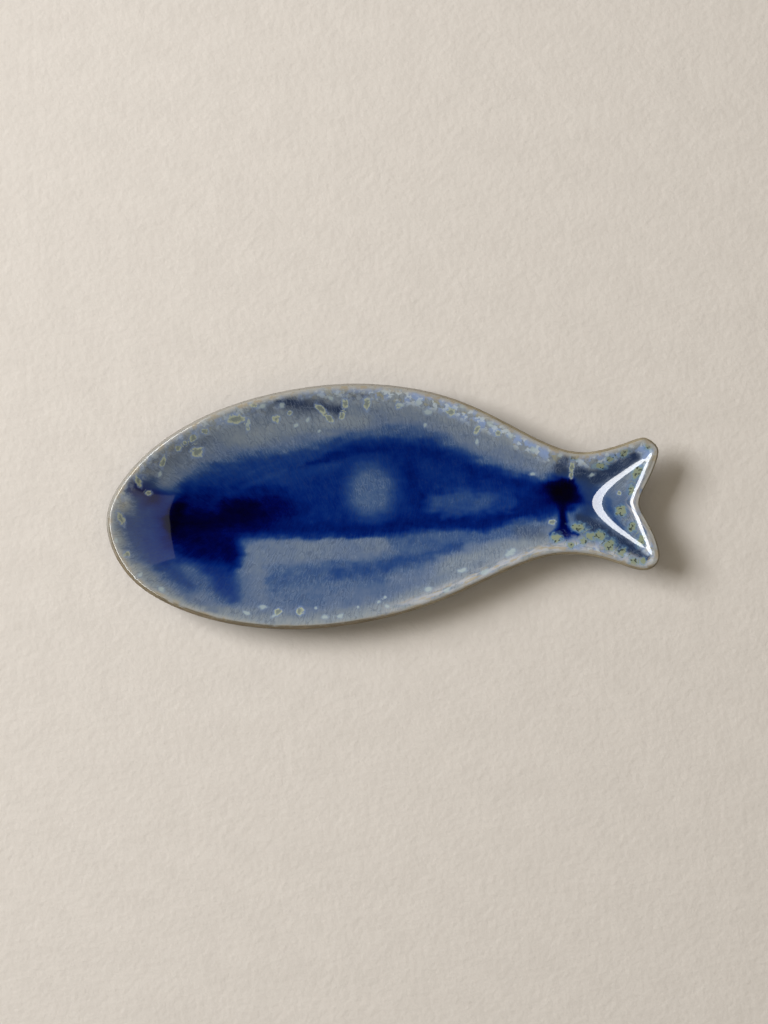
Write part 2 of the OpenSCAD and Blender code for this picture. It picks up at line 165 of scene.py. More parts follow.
class Dish:
    """The platter's faces as functions of the column round its edge and the share of the way in."""

    def __init__(self):
        points = outline_points()
        columns = columns_per_stretch(points)
        raw, along = smooth_loop(points, columns)
        self.middle = (raw.min(0) + raw.max(0)) / 2
        self.edge = raw - self.middle
        self.count = len(raw)
        column = np.arange(self.count)
        self.pair = np.minimum(column, self.count - column)
        along = unit(along)
        self.inward = np.stack([along[:, 1], -along[:, 0]], 1)
        self.share = self.stations(BACKBONE, columns)
        self.rise = self.stations(RISE, columns)
        self.lift = self.stations(LIFT, columns)
        self.power = self.stations(WALL_POWER, columns)
        self.fade = self.stations(WEB_FADE, columns)
        self.notch_step = NOTCH_STEP * self.stations(NOTCH_SHARE, columns)
        self.ridge_share = self.stations(RIDGE_SHARE, columns)
        self.lip_r = LIP_R * self.stations(LIP_SHARE, columns)
        self.spine = self.backbone()
        self.spine_h = FLOOR_H + DISH_D * self.rise
        self.crest = self.edge + self.lip_r[:, None] * self.inward
        self.run = np.linalg.norm(self.spine - self.crest, axis=1)
        self.foot_last = int(columns[:FOOT_STATION].sum())
        self.foot_count = 2 * self.foot_last

    def stations(self, shares, columns):
        there_and_back = np.array(shares + shares[-2:0:-1], float)[:, None]
        return smooth_loop(there_and_back, columns)[0][self.pair, 0]

    def backbone(self):
        x = BACKBONE_START + BACKBONE_L * self.share - self.middle[0]
        return np.stack([x, BACK_W * self.lift - self.middle[1]], 1)

    def arrow_head(self, plan, apex, blunt, angle, rise, step):
        """Height of a blunt arrow head on the tail, with an even slope along its two arms."""
        u, v = (plan + self.middle - apex).T
        c, s = math.cos(WEB_TURN), math.sin(WEB_TURN)
        along, across = u * c + v * s, v * c - u * s
        inside = along * math.sin(angle) - math.cos(angle) * (np.hypot(across, blunt) - blunt)

        def past(d):
            return (d + np.hypot(d, SLOPE_ROUNDING * step)) / 2

        return rise * (past(inside) - past(inside - step)) / step

    def eased(self, d):
        return np.sqrt(d * d + LIP_BLEND ** 2) - LIP_BLEND

    def left(self, g):
        return np.clip(1 - self.eased(g * self.run) / self.eased(self.run), 0, 1)

    def inner(self, g):
        """Inner face of the clay, from the lip's crest at 0 to the backbone at 1."""
        plan = lerp(self.crest, self.spine, g)
        left, notch_left = self.left(g), np.exp(-(g * self.run / NOTCH_STEP_W) ** 2)
        steep = left ** self.power
        wall = (RIM_H - self.spine_h) * steep + self.notch_step * (notch_left - steep)
        web = self.arrow_head(plan, WEB_APEX, WEB_BLUNT, WEB_ANGLE, WEB_RISE, WEB_STEP)
        ridge = self.arrow_head(plan, RIDGE_APEX, RIDGE_BLUNT, RIDGE_ANGLE, RIDGE_RISE, RIDGE_STEP)
        h = self.spine_h + wall + web * (1 - left ** self.fade) + ridge * self.ridge_share * (1 - notch_left)
        return np.column_stack([plan, h])

    def wall_slope(self, g):
        d = g * self.run
        lean = (RIM_H - self.spine_h) * self.power * self.left(g) ** (self.power - 1)
        return lean * d / np.sqrt(d * d + LIP_BLEND ** 2) / self.eased(self.run)

    def leaning(self, way, slope):
        return unit(np.column_stack([way * slope[:, None], np.ones(self.count)]))

    def glazed(self, g):
        """Upper face of the inside glaze."""
        thick = GLAZE_T + POOL_T * (1 - self.rise) * (1 - self.left(g))
        normal = self.leaning(unit(self.spine - self.crest), self.wall_slope(g))
        return self.inner(g) + thick[:, None] * normal

    def lip(self, angle, cover=0.0):
        """The lip's outer rounding at an angle above its widest line, with a cover of glaze."""
        a = math.radians(angle)
        out = self.lip_r * (1 - math.cos(a)) - cover * math.cos(a)
        h = RIM_H - self.lip_r + (self.lip_r + cover) * math.sin(a)
        return np.column_stack([self.edge + out[:, None] * self.inward, h])

    def under_h(self, plan, i=slice(None)):
        reach = np.linalg.norm(self.edge[i] - self.spine[i], axis=1)
        left = np.minimum(1, np.linalg.norm(plan - self.spine[i], axis=1) / reach)
        low = self.spine_h[i] - FLOOR_T
        return low + (RIM_H - self.lip_r[i] - low) * left ** (self.power[i] * OUTER_BEND)

    def foot_oval(self, inset):
        nose = np.array([FOOT_INSET - self.middle[0], self.spine[0, 1]])
        axis = self.spine[self.foot_last] - nose
        length = np.linalg.norm(axis)
        ahead = axis / length
        across = np.array([-ahead[1], ahead[0]])
        j = np.arange(self.foot_count)
        s = np.minimum(j, self.foot_count - j)
        by_station = np.arccos(np.clip(1 - 2 * self.share[s] / self.share[self.foot_last], -1, 1))
        turn = np.where(j <= self.foot_last, 1, -1) * (by_station + math.pi * s / self.foot_last) / 2
        reach = (FOOT_W / 2 - inset) * (1 + FOOT_TAPER * np.cos(turn))
        return (nose + axis / 2 - np.outer(np.cos(turn), ahead) * (length / 2 - inset)
                + np.outer(reach * np.sin(turn), across))

    def foot_columns(self):
        j = np.arange(self.foot_count)
        return np.where(j <= self.foot_last, j, self.count - self.foot_count + j)

    def over_foot(self):
        return np.maximum(self.pair, np.roll(self.pair, -1)) <= self.foot_last

    def under_end(self):
        end = self.spine.copy()
        end[self.foot_columns()] = self.foot_oval(0)
        return end

    def under(self, f):
        """Under face of the clay, from the edge at 0 to the foot or the tail's backbone at 1."""
        plan = lerp(self.edge, self.under_end(), f)
        return np.column_stack([plan, self.under_h(plan)])

    def coated(self, f, thick):
        end = self.under_end()
        if f < 1:
            step = self.under_h(lerp(self.edge, end, f - SLOPE_STEP)) - self.under_h(lerp(self.edge, end, f))
            slope = step / (SLOPE_STEP * np.linalg.norm(end - self.edge, axis=1))
        else:
            slope = np.zeros(self.count)
        return self.under(f) - thick * self.leaning(unit(end - self.edge), slope)

    def grain(self, g):
        """Place along the edge, down the wall and across the dish, for marks that run down the wall."""
        step = np.linalg.norm(np.roll(self.edge, -1, 0) - self.edge, axis=1)
        along = np.concatenate([[0], np.cumsum(step)])[self.pair]
        return np.column_stack([along, g * self.run, lerp(self.crest, self.spine, g)[:, 1]])

    def foot_ring(self, inset, height=None):
        plan = self.foot_oval(inset)
        h = self.under_h(plan, self.foot_columns()) if height is None else np.full(self.foot_count, height)
        return np.column_stack([plan, h])

    def recess_ring(self, share):
        plan = self.foot_oval(FOOT_BAND + 2 * FOOT_DRAFT)
        mirror = plan[-np.arange(self.foot_count) % self.foot_count]
        plan = lerp(plan, (plan + mirror) / 2, share)
        return np.column_stack([plan, self.under_h(plan, self.foot_columns())])


# Meshes

class Shell:
    """Rings of points and the faces between them, gathered into one closed mesh."""

    def __init__(self):
        self.points, self.faces, self.grain = [], [], []
        self.size = 0

    def strip(self, rings, keep=None, grain=None):
        n = len(rings[0])
        self.grain += grain or [np.zeros((n, 3))] * len(rings)
        start = self.size
        i = np.arange(n)
        for k, ring in enumerate(rings):
            self.points.append(ring)
            if k:
                a, b = start + (k - 1) * n, start + k * n
                quads = np.column_stack([a + i, a + (i + 1) % n, b + (i + 1) % n, b + i])
                self.faces.append(quads if keep is None else quads[keep])
        self.size += n * len(rings)

    def piece(self, name, node):
        mesh = bpy.data.meshes.new(name)
        mesh.from_pydata((np.concatenate(self.points) * MM).tolist(), [], np.concatenate(self.faces).tolist())
        layer = mesh.attributes.new("grain", "FLOAT_VECTOR", "POINT")
        layer.data.foreach_set("vector", np.concatenate(self.grain).ravel().astype(np.float32))
        bm = bmesh.new()
        bm.from_mesh(mesh)
        bmesh.ops.remove_doubles(bm, verts=bm.verts, dist=MERGE_GAP)
        bmesh.ops.recalc_face_normals(bm, faces=bm.faces)
        bm.to_mesh(mesh)
        bm.free()
        mesh.polygons.foreach_set("use_smooth", np.ones(len(mesh.polygons), bool))
        obj = bpy.data.objects.new(name, mesh)
        bpy.context.scene.collection.objects.link(obj)
        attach(obj, "root")
        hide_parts(node)
        return obj


def shares(n, crowding=1.0):
    return (np.arange(n + 1) / n) ** crowding


def lip_angles():
    return np.linspace(90, GLAZE_EDGE_ANGLE, LIP_RINGS)


def clay_inside(dish):
    rings = [dish.inner(g) for g in shares(CLAY_RINGS, RING_CROWDING)[::-1]]
    return rings + [dish.lip(a) for a in lip_angles()[1:]]


def inside_glaze(dish):
    shell = Shell()
    places = shares(WALL_RINGS, RING_CROWDING)[::-1]
    rings, grain = [dish.glazed(g) for g in places], [dish.grain(g) for g in places]
    for a in lip_angles()[1:]:
        thin = (90 - a) / (90 - GLAZE_EDGE_ANGLE)
        rings.append(dish.lip(a, GLAZE_T * lerp(1, GLAZE_EDGE_SHARE, thin ** 3)))
        grain.append(dish.grain(0))
    clay = clay_inside(dish)[::-1]
    shell.strip(rings + clay, grain=grain + [dish.grain(0)] * len(clay))
    return shell.piece("inside_glaze_skin", "inside_glaze")


# The outside coat starts at the CAD part's first ring below the lip, thin, and swells on its way in
CAD_UNDER_RINGS, CAD_UNDER_SPREAD = 7, 1.7
COAT_START = (1 / CAD_UNDER_RINGS) ** CAD_UNDER_SPREAD
COAT_EDGE_SHARE, COAT_SWELL = 0.35, 8


def under_shares():
    return COAT_START + (1 - COAT_START) * shares(UNDER_RINGS, UNDER_CROWDING)


def outside_glaze(dish):
    shell = Shell()
    clay = [dish.under(f) for f in under_shares()]
    thick = [min(1, COAT_EDGE_SHARE + COAT_SWELL * (f - COAT_START)) for f in under_shares()]
    coat = [dish.coated(f, OUTER_GLAZE_T * t) for f, t in zip(under_shares(), thick)]
    shell.strip(clay[::-1])
    shell.strip([clay[0], coat[0]])
    shell.strip(coat)
    shell.strip([coat[-1], clay[-1]], keep=dish.over_foot())
    return shell.piece("outside_glaze_skin", "outside_glaze")


def base_glaze(dish):
    shell = Shell()
    clay = [dish.recess_ring(s) for s in shares(RECESS_RINGS)]
    down = np.array([0, 0, BASE_GLAZE_T])
    shell.strip(clay[::-1] + [ring - down for ring in clay])
    return shell.piece("base_glaze_skin", "base_glaze")


def stoneware(dish):
    shell = Shell()
    bare = [dish.lip(a) for a in np.linspace(GLAZE_EDGE_ANGLE, 0, LIP_RINGS)[1:]]
    below = [dish.under(f) for f in np.linspace(0, COAT_START, BARE_RINGS + 1)[1:]]
    shell.strip(clay_inside(dish) + bare + below + [dish.under(f) for f in under_shares()[1:]])
    foot = [dish.foot_ring(0)]
    foot += [dish.foot_ring(FOOT_DRAFT, 0), dish.foot_ring(FOOT_DRAFT + FOOT_BAND, 0)]
    shell.strip(foot + [dish.recess_ring(s) for s in shares(RECESS_RINGS)])
    return shell.piece("clay_body", "stoneware_body")


# Where each point of the glaze shows in the photograph

def photo_pixels(co):
    mm = co / MM
    plan = mm[:, :2] - PLATTER_AT
    c, s = math.cos(PHOTO_ROLL), math.sin(PHOTO_ROLL)
    right, up = plan[:, 0] * c - plan[:, 1] * s, plan[:, 0] * s + plan[:, 1] * c
    size = CAMERA_ABOVE_LIP / (CAMERA_ABOVE_LIP + RIM_H - mm[:, 2]) / PIXEL
    return PHOTO_SIZE / 2 + np.column_stack([right * size, -up * size])


def smooth(low, high, x):
    t = np.clip((x - low) / (high - low), 0, 1)
    return t * t * (3 - 2 * t)


def wobble(px, size_x, size_y, seed):
    """Smooth noise from -1 to 1 at each pixel place, in lumps of the given size."""
    return np.array([noise.noise((x / size_x, y / size_y, seed)) for x, y in px])


def path_reach(px, path):
    """Distance to a path of (x, y, half width), as a multiple of its half width there."""
    path = np.array(path, float)
    best = np.full(len(px), np.inf)
    for a, b in zip(path, path[1:]):
        way = b[:2] - a[:2]
        t = np.clip((px - a[:2]) @ way / (way @ way), 0, 1)
        gap = np.linalg.norm(px - a[:2] - t[:, None] * way, axis=1)
        best = np.minimum(best, gap / lerp(a[2], b[2], t))
    return best


# The floor within the tail's web: path of (x, y, half width)
WEB_FLOOR = [(612, 505, 11), (630, 506, 13), (640, 480, 7), (640, 532, 7)]
# Depth of the glaze's blue: depth, strength, softness, sway in pixels, path of (x, y, half width)
FLOWS = [
    # thinner glaze on the back's wall, thicker towards the waist, and thin inside the nose's lip
    (0.17, 0.7, 0.9, 4, [(232, 438, 7), (265, 431, 10), (300, 424, 10), (362, 423, 9)]),
    (0.37, 0.6, 0.9, 4, [(495, 453, 8), (532, 464, 8)]),
    (0.02, 0.7, 0.9, 3, [(130, 478, 5), (121, 498, 6), (116, 522, 6), (120, 550, 6), (133, 572, 5)]),
    # blue haze over the floor, the low walls and the nose
    (0.46, 0.8, 0.5, 5, [(200, 514, 36), (300, 498, 38), (400, 493, 44), (480, 500, 34), (560, 500, 18)]),
    (0.46, 0.75, 0.9, 6, [(215, 588, 14), (270, 590, 18), (330, 592, 17), (380, 584, 13), (420, 572, 9)]),
    (0.67, 0.85, 0.8, 4, [(131, 524, 12), (140, 543, 14), (160, 560, 10)]),
    (0.70, 0.85, 0.8, 4, [(146, 510, 9), (152, 530, 11), (158, 550, 9)]),
    (0.80, 0.75, 0.7, 3, [(152, 498, 6), (162, 500, 8), (174, 498, 8)]),
    (0.93, 0.9, 0.9, 3, [(136, 489, 9), (145, 493, 12), (154, 497, 9)]),
    (0.88, 0.8, 0.8, 3, [(162, 514, 9), (168, 530, 11), (170, 545, 9)]),
    # cobalt of the floor, with a pale streaked edge towards the back
    (0.74, 0.9, 0.7, 5, [(190, 493, 12), (213, 484, 13), (240, 477, 13), (300, 465, 10), (340, 451, 9)]),
    (0.78, 0.95, 0.36, 3, [(190, 515, 18), (235, 511, 22), (300, 505, 30), (360, 494, 42), (420, 490, 41),
                           (480, 501, 28), (540, 500, 17), (566, 499, 12)]),
    # soft upper edge, with a haze above it on the tail's side
    (0.5, 0.55, 0.95, 3, [(385, 428, 3), (420, 430, 5), (448, 438, 4)]),
    (0.66, 0.85, 1.0, 3, [(200, 482, 11), (250, 466, 11), (300, 463, 11), (350, 446, 12), (420, 444, 13),
                          (480, 469, 10), (530, 483, 8)]),
    # darker band along its upper edge, to the waist
    (0.84, 0.85, 0.9, 3, [(290, 469, 2), (325, 459, 4), (356, 450, 7), (385, 449, 9), (424, 451, 9),
                          (455, 462, 9), (480, 473, 8), (510, 482, 6), (546, 489, 6)]),
    # pale streaks between the band and the pool
    (0.58, 0.5, 0.9, 2, [(226, 493, 2), (265, 479, 2.6), (303, 464, 2)]),
    (0.62, 0.45, 0.9, 2, [(241, 476, 1.8), (270, 465, 2.2), (292, 456, 1.5)]),
    (0.66, 0.4, 0.9, 2, [(300, 476, 2.4), (332, 462, 2.4)]),
    # darker band along its lower edge
    (0.86, 0.85, 0.9, 3, [(241, 530, 8), (300, 530, 8), (345, 530, 8), (385, 528, 8), (420, 524, 8),
                          (478, 525, 8), (508, 516, 5), (530, 511, 3)]),
    (0.88, 0.8, 0.9, 3, [(508, 505, 9), (545, 502, 12)]),
    # deep pool at the nose end
    (0.89, 0.85, 0.9, 4, [(188, 500, 10), (208, 500, 14), (240, 505, 20), (280, 510, 16), (298, 512, 9)]),
    (0.96, 0.85, 0.9, 5, [(180, 521, 14), (202, 524, 13), (225, 517, 14), (246, 512, 16), (270, 510, 12)]),
    (1.06, 0.8, 0.9, 4, [(178, 521, 10), (198, 524, 10), (222, 522, 7)]),
    (1.08, 0.85, 0.9, 3, [(178, 506, 6), (174, 520, 9), (177, 535, 7)]),
    (1.0, 0.8, 0.9, 3, [(230, 521, 7), (250, 518, 9), (266, 515, 6)]),
    (1.06, 0.7, 0.9, 4, [(228, 509, 7), (245, 510, 9), (256, 505, 5)]),
    # pale disc, teal and pale patch in the middle
    (0.42, 0.85, 0.55, 2, [(371, 487, 23.5), (371, 493, 23.5)]),
    (0.86, 0.7, 0.9, 3, [(411, 468, 8), (415, 490, 10), (419, 504, 7)]),
    (0.62, 0.7, 0.9, 7, [(432, 504, 8), (470, 502, 12), (508, 501, 7)]),
    (0.54, 0.8, 0.9, 7, [(438, 503, 8), (462, 501, 11), (488, 502, 8)]),
    # cobalt below the pool, with soft sides and a pale patch
    (0.92, 0.95, 0.6, 2, [(182, 547, 14), (205, 550, 17), (222, 552, 18)]),
    (0.99, 0.85, 0.9, 4, [(186, 534, 8), (204, 540, 12), (216, 552, 12), (222, 563, 8)]),
    (0.95, 0.9, 0.6, 5, [(220, 544, 16), (227, 555, 14), (222, 567, 11)]),
    (0.76, 0.85, 0.95, 2, [(215, 571, 14), (223, 581, 11)]),
    (0.68, 0.8, 1.0, 2, [(221, 580, 12), (227, 588, 10), (234, 597, 7)]),
    (0.68, 0.8, 1.0, 2, [(168, 562, 11), (175, 573, 11), (190, 587, 8)]),
    (0.52, 0.75, 1.0, 2, [(190, 574, 7), (207, 582, 7)]),
    (0.42, 0.5, 0.9, 4, [(178, 590, 5), (196, 599, 5), (216, 607, 4)]),
    # pale wedge beside it: a sharp upper edge, then a soft body
    (0.32, 0.9, 0.5, 2.5, [(250, 549, 3.5), (268, 547, 6.5), (285, 546.5, 6), (296, 545, 6), (312, 547, 6),
                           (345, 545, 6), (382, 544, 6)]),
    (0.32, 0.9, 0.9, 4, [(260, 556, 9), (300, 554, 10), (345, 551, 8), (390, 547, 6)]),
    (0.50, 0.9, 0.6, 2, [(396, 542, 6.5), (425, 538, 7), (455, 538, 7), (490, 537, 5), (512, 530, 4)]),
    (0.31, 0.8, 0.9, 5, [(264, 556, 8), (256, 570, 10), (258, 582, 10), (264, 596, 7)]),
    # blue band under the pale wedge, and the pale wall beside the waist
    (0.53, 0.8, 0.95, 8, [(268, 584, 4), (288, 579, 8), (310, 576, 10), (334, 573, 10)]),
    (0.60, 0.8, 0.9, 5, [(335, 573, 7), (385, 567, 10), (420, 557, 8.5), (458, 545, 5)]),
    (0.38, 0.6, 0.9, 5, [(285, 590, 8), (330, 592, 9), (362, 594, 7)]),
    (0.33, 0.6, 0.9, 4, [(395, 582, 8), (425, 574, 8)]),
    (0.20, 0.8, 0.9, 4, [(444, 567, 8), (480, 557, 9), (512, 548, 8), (545, 541, 8)]),
    # the waist: black spot, its tail and the line down to the belly
    (0.90, 0.9, 0.9, 2, [(545, 491, 9), (562, 490, 16), (580, 495, 10)]),
    (0.98, 0.95, 0.7, 1, [(570, 498, 5.5), (580, 501, 4.5), (590, 503.5, 2)]),
    (1.02, 0.95, 0.8, 1, [(562, 500, 4.2), (562.5, 514, 3.6), (563, 524, 5), (563, 531, 8)]),
    (0.92, 0.8, 0.9, 1, [(551, 534, 2), (563, 532, 5), (577, 535, 2)]),
    (1.03, 0.95, 0.85, 3, [(559, 489, 12), (566, 492, 12)]),
    (1.14, 0.9, 0.9, 4, [(560, 490, 9), (564, 490, 9.5)]),
    # the tail: blue floor beside the web, slate within it
    (0.62, 0.85, 0.7, 2, [(582, 516, 9), (591, 506, 9), (592, 492, 9), (584, 480, 7)]),
    (0.42, 0.85, 0.6, 1.5, WEB_FLOOR),
    (0.58, 0.7, 0.8, 1.5, [(607, 500, 3), (614, 518, 3), (622, 529, 3)]),
]
# Dark slate patches near the lip, at the waist and outside the web's arms: strength, softness, sway, path
SLATES = [
    (1, 1.0, 3, [(276, 403, 3), (296, 404, 8), (314, 405, 8)]),
    (1, 0.8, 3, [(324, 407, 7), (338, 410, 7)]),
    (0.6, 0.8, 2, [(350, 396, 4), (364, 395, 4)]),
    (0.45, 0.9, 3, [(252, 411, 4), (272, 408, 5)]),
    (0.35, 0.9, 4, [(150, 466, 9), (170, 455, 8), (184, 447, 6)]),
    (0.3, 0.9, 4, [(190, 443, 6), (206, 440, 6)]),
    (1, 0.7, 2, [(564, 459, 6), (562, 469, 8)]),
    (0.45, 0.8, 3, [(518, 530, 6), (538, 533, 6)]),
    (0.55, 0.9, 2, [(586, 484, 8), (592, 504, 8), (586, 519, 7)]),
    (0.8, 0.9, 2, [(134, 487, 8), (146, 491, 10)]),
    (1, 0.7, 2, [(579, 473, 8), (596, 478, 8), (615, 469, 8), (636, 455, 5)]),
    (1, 0.6, 1.5, [(580, 518, 5), (602, 531, 6), (626, 546, 6), (646, 558, 3)]),
]

# Crystals in the glaze: x, y and half width in pixels, their length over their width, their turn in degrees.
# Ringed ones have a pale outline, spotted ones an olive body with dark dots, pale ones are blue white
RINGED = [
    (197, 452, 4.6, 1.3, 10), (193, 438, 3, 1.4, 60), (178, 448, 3, 1, 0), (163, 462, 2.4, 2.6, 75),
    (138, 481, 2.8, 2, -60), (149, 493, 2.4, 1.2, 0), (121, 519, 3, 2.4, -70), (127, 554, 3, 1, 0),
    (205, 431, 2.8, 1.2, 0), (236, 419, 4.4, 1.8, 5), (248, 425, 2, 2.8, 85), (276, 419, 3.4, 1, 0),
    (290, 413, 2.2, 1, 0), (321, 409, 3, 2.2, -45), (329, 418, 2.4, 2.2, -50), (342, 416, 2.6, 1.4, 70),
    (345, 404, 2.8, 1.7, 85), (367, 403, 3.4, 1.8, 88), (399, 406, 3.2, 1, 0), (451, 412, 4.4, 1, 0),
    (477, 430, 2.6, 1.6, 60), (498, 433, 2.6, 1.3, 80), (572, 467, 2.2, 2.2, 85), (571, 475, 2, 1.5, 85),
    (552, 522, 2.4, 1.3, 0), (619, 493, 2, 1.2, 0), (278, 612, 3, 1.3, 30), (300, 611, 3.4, 1.1, 0),
    (254, 405, 3, 1.3, -20), (185, 443, 2, 1, 0),
]
SPOTTED = [
    (556, 538, 5, 1.2, 0), (571, 545, 3.6, 1, 0), (578, 527, 4.6, 1.8, -12), (590, 536, 4.4, 1.3, -30),
    (600, 536, 5.4, 1.3, -15), (583, 542, 3.6, 1, 0), (610, 545, 5.6, 1.3, 50), (622, 552, 4.4, 1.2, 60),
    (633, 561, 4.4, 1.1, 0), (643, 561, 4, 1, 0), (621, 511, 5.4, 1.2, 70), (632, 527, 5, 1.3, 50),
    (637, 473, 5, 1.6, 60), (631, 490, 3.6, 1.8, 80), (641, 540, 4.2, 1.7, 70), (649, 447, 4, 1.1, 0),
    (624, 453, 4, 1.4, 20), (610, 459, 3.4, 1.3, 30), (600, 466, 3, 2.2, 0), (575, 457, 3.6, 1.2, 0),
]
PALE = [
    (160, 474, 2.4, 1.4, 70), (248, 424, 2, 2, 85), (263, 406, 3, 1.6, 10), (282, 405, 3, 1.3, -30),
    (296, 425, 2.2, 1.4, 20), (308, 420, 2.4, 1.2, 60), (319, 431, 1.8, 1, 0), (331, 398, 2.4, 1.3, -40),
    (401, 405, 3, 1.4, 0), (419, 403, 3, 1.3, 0), (428, 412, 3, 1.7, 5), (425, 425, 2, 1.3, 80),
    (463, 406, 3.4, 1.5, 10), (477, 442, 2, 2, 80), (490, 424, 3, 1.5, -30), (511, 436, 3.6, 1, 0),
    (533, 450, 4, 1.1, 0), (533, 474, 2, 2, 0), (592, 475, 2, 2, 25), (247, 613, 2.4, 1.8, -15),
    (263, 607, 2.8, 1.7, 0), (274, 616, 2, 1.8, 25), (316, 608, 1.8, 1, 0), (325, 617, 2.6, 1.7, 5),
    (340, 616, 2.6, 1.5, 20), (358, 607, 1.6, 1, 0), (387, 606, 2.4, 1, 0), (379, 602, 1.8, 1.3, 10),
    (428, 589, 2.8, 1.8, 12), (447, 590, 3, 1.7, 25), (462, 570, 2.8, 2, 10), (140, 575, 2.4, 1.3, 50),
    (161, 589, 2.8, 1.6, -30), (510, 553, 4, 1.8, 30), (485, 572, 3, 2, 30), (560, 455, 2.4, 1.3, 0),
    (385, 597, 1.6, 1.3, 0), (116, 540, 2, 1.4, -70),
]
# Half widths up to which a crystal is drawn, and over which it then ends
SPOT_REACH, SPOT_END = 1.7, 0.3
# Depth of the blue down the wall without flows, by pixels from the edge, on the belly's side and the back's
WALL_AT = [0, 5, 12, 22, 34, 46, 60]
BELLY_WALL = [0.06, 0.11, 0.19, 0.33, 0.40, 0.42, 0.42]
BACK_WALL = [0.08, 0.11, 0.17, 0.25, 0.31, 0.37, 0.42]
# Drift of the flows' edges: size across, size down and seed of a broad and a fine noise, for x and for y
DRIFTS = [((34, 9, 3.1), (9, 5, 7.7)), ((26, 7, 11.3), (8, 4, 15.9))]
FINE_DRIFT = 0.6


def drifting(px):
    return np.column_stack([wobble(px, *broad) + FINE_DRIFT * wobble(px, *fine) for broad, fine in DRIFTS])


def covered(px, soft, path):
    return smooth(1 + soft, 1 - soft, path_reach(px, path))


def flow_depth(px, edge_px, above):
    """How deep the blue is at each place: from thin at the lip to the pools of the flows above."""
    depth = lerp(np.interp(edge_px, WALL_AT, BELLY_WALL), np.interp(edge_px, WALL_AT, BACK_WALL), above)
    drift = drifting(px)
    for target, strength, soft, sway, path in FLOWS:
        depth = lerp(depth, target, strength * covered(px + sway * drift, soft, path))
    return depth


def slate_share(px):
    clear = np.ones(len(px))
    drift = drifting(px)
    for strength, soft, sway, path in SLATES:
        clear *= 1 - strength * covered(px + sway * drift, soft, path)
    return 1 - clear


def nearest_spots(px, spots):
    """Place within the nearest crystal, in half widths, and 1 where one is near."""
    best = np.full(len(px), np.inf)
    place = np.zeros((len(px), 3))
    for x, y, r, length, turn in spots:
        a = math.radians(turn)
        u, v = (px - (x, y)).T
        along, across = u * math.cos(a) - v * math.sin(a), u * math.sin(a) + v * math.cos(a)
        local = np.column_stack([along / length, across]) / r
        far = np.linalg.norm(local, axis=1)
        nearer = far < best
        best[nearer] = far[nearer]
        place[nearer, :2] = local[nearer]
    place[:, 2] = smooth(SPOT_REACH + SPOT_END, SPOT_REACH, best)
    return place


def from_edge(co, dish):
    """Distance from the platter's edge and the way in from it, in millimetres."""
    tree = kdtree.KDTree(dish.count)
    for i, (x, y) in enumerate(dish.edge * MM):
        tree.insert((x, y, 0), i)
    tree.balance()
    found = [tree.find((x, y, 0)) for x, y, _ in co]
    way = dish.inward[[index for _, index, _ in found]]
    return np.array([gap for _, _, gap in found]) / MM, way


def set_values(mesh, kind, **fields):
    for name, values in fields.items():
        layer = mesh.attributes.new(name, kind, "POINT")
        layer.data.foreach_set("value" if kind == "FLOAT" else "vector", values.ravel().astype(np.float32))


# Zones of the inside glaze, each from where it starts to where it is full. Along the dish and across it, in
# millimetres: the back's side, the tail, the nose, the belly's smears, and its lip's brown, partly painted
# shade
BACK_SIDE, TAIL_SIDE, NOSE_END = (-10, 14), (92, 110), (-142, -148)
SMEARED_SIDE, LIP_BREAK_AND_SHADE_SIDE = (-20, 30), (10, -20)
# In millimetres from the edge
LACE_START, LACE_END, SMEARS_END = (1.2, 3), (12, 5), (9, 4.5)
LIP_BREAK_AND_SHADE_EDGE, DULL_LIP = (2.7, 1.6), (2.2, 1.4)
NARROW_THIN, WIDE_THIN, FULL_THIN = 3.4, 5, 1.2
# In pixels along the photograph: full lace on the back, and a wide zone of thin glaze
FULL_LACE, WIDE_LIP = (330, 400), (280, 220)
NOSE_LACE_SHARE, SLATE_OVER_LACE = 0.5, 0.9
# In half widths from the middle of the web's floor, which has no lace
WEB_LACE = (0.8, 1.4)
# Pixels up and down the wall between which the blue's change is taken
HAIR_REACH = 3.0


def blue_fields(px, edge_px, above, way):
    """Depth of the blue, its change down the wall and the share of slate."""
    reach = HAIR_REACH * way * (1, -1)
    further = flow_depth(px + reach, edge_px + HAIR_REACH, above)
    nearer = flow_depth(px - reach, edge_px - HAIR_REACH, above)
    return {"depth": flow_depth(px, edge_px, above), "drop": further - nearer, "slate": slate_share(px)}


def lace_fields(px, x, edge_mm, above, slate):
    lace = smooth(*LACE_START, edge_mm) * smooth(*LACE_END, edge_mm)
    clear = (1 - SLATE_OVER_LACE * slate) * smooth(*WEB_LACE, path_reach(px, WEB_FLOOR))
    back = above * lerp(NOSE_LACE_SHARE, 1, smooth(*FULL_LACE, px[:, 0]))
    smears = (1 - above) * smooth(*SMEARS_END, edge_mm) * smooth(*SMEARED_SIDE, x)
    return {"blue_lace": lace * clear * np.maximum(back, smooth(*TAIL_SIDE, x)), "white_lace": lace * smears}


def lip_fields(px, x, edge_mm, above):
    wide = np.maximum(above, smooth(*WIDE_LIP, px[:, 0]))
    return {"thin": smooth(lerp(NARROW_THIN, WIDE_THIN, wide), FULL_THIN, edge_mm),
            # brown on the belly's lip: partly where the glaze breaks, partly painted shade where the lip
            # faces away from the lamp
            "lip_break_and_shade": smooth(*LIP_BREAK_AND_SHADE_EDGE, edge_mm) * (1 - above) * smooth(*LIP_BREAK_AND_SHADE_SIDE, x),
            "dull": smooth(*DULL_LIP, edge_mm) * (1 - smooth(*NOSE_END, x))}


